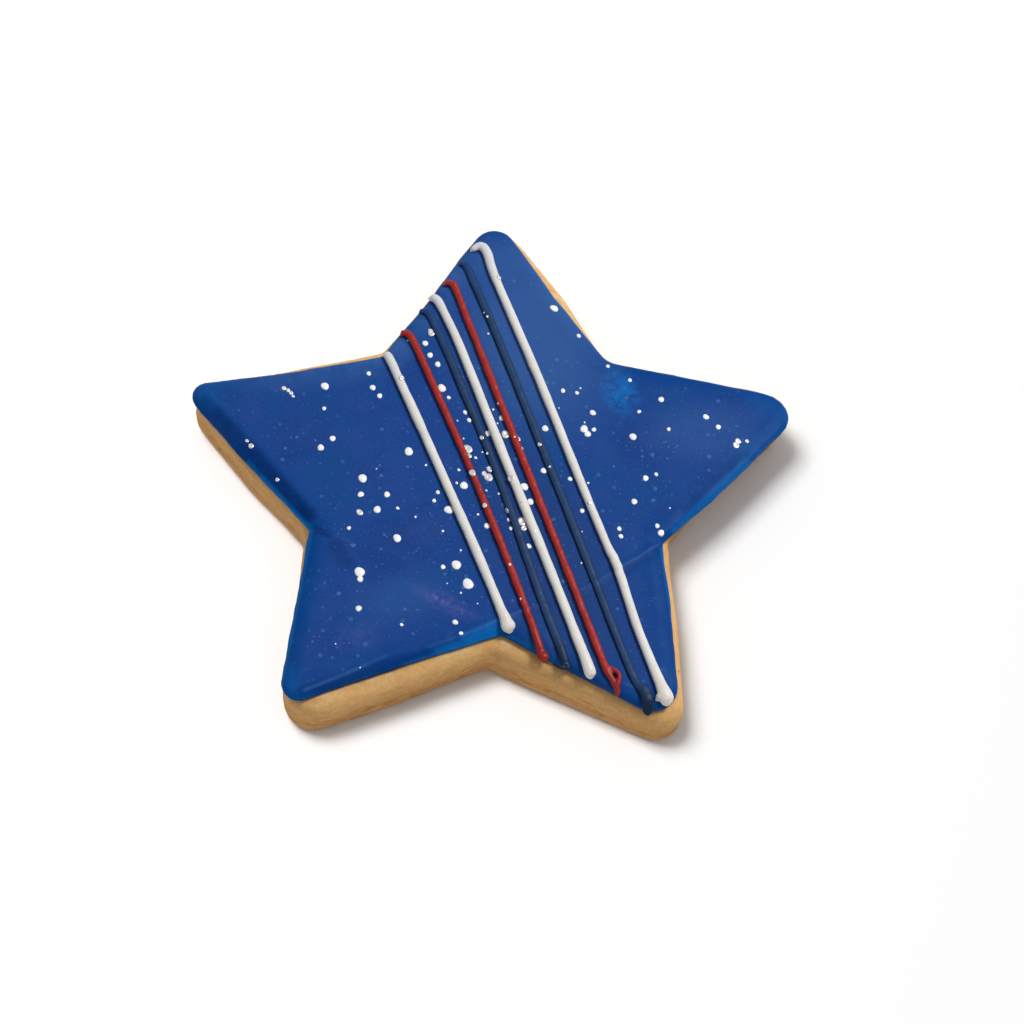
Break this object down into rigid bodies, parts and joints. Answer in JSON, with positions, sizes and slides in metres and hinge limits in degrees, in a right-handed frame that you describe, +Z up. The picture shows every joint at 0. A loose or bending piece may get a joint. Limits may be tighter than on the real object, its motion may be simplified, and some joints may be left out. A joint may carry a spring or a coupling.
{
  "type": "iced sugar cookie",
  "caption": "Flat star-shaped sugar biscuit with a sheet of blue icing on top and slanting piped icing lines in white, red and navy.",
  "frame": {"origin": "on the flat underside, below the middle of the cookie's box", "axes": "+Z up out of the iced face, +Y towards the top tip, the piped lines running from the top tip's left side down to the lower right tip"},
  "size_m": [0.0844, 0.0806, 0.0093],
  "materials": {
    "biscuit": "baked biscuit, pale golden, matt and finely grained",
    "icing_blue": "set royal blue icing, satin, with faint violet clouding",
    "icing_white": "set white royal icing, satin",
    "icing_red": "set red royal icing, satin",
    "icing_navy": "set navy icing, glossy and a little translucent"
  },
  "bodies": {
    "root": {"biscuit": "biscuit", "icing": "icing_blue", "piped_white_1": "icing_white", "piped_red_1": "icing_red", "piped_navy_1": "icing_navy", "piped_white_2": "icing_white", "piped_red_2": "icing_red", "piped_navy_2": "icing_navy", "piped_white_3": "icing_white"}
  },
  "joints": []
}
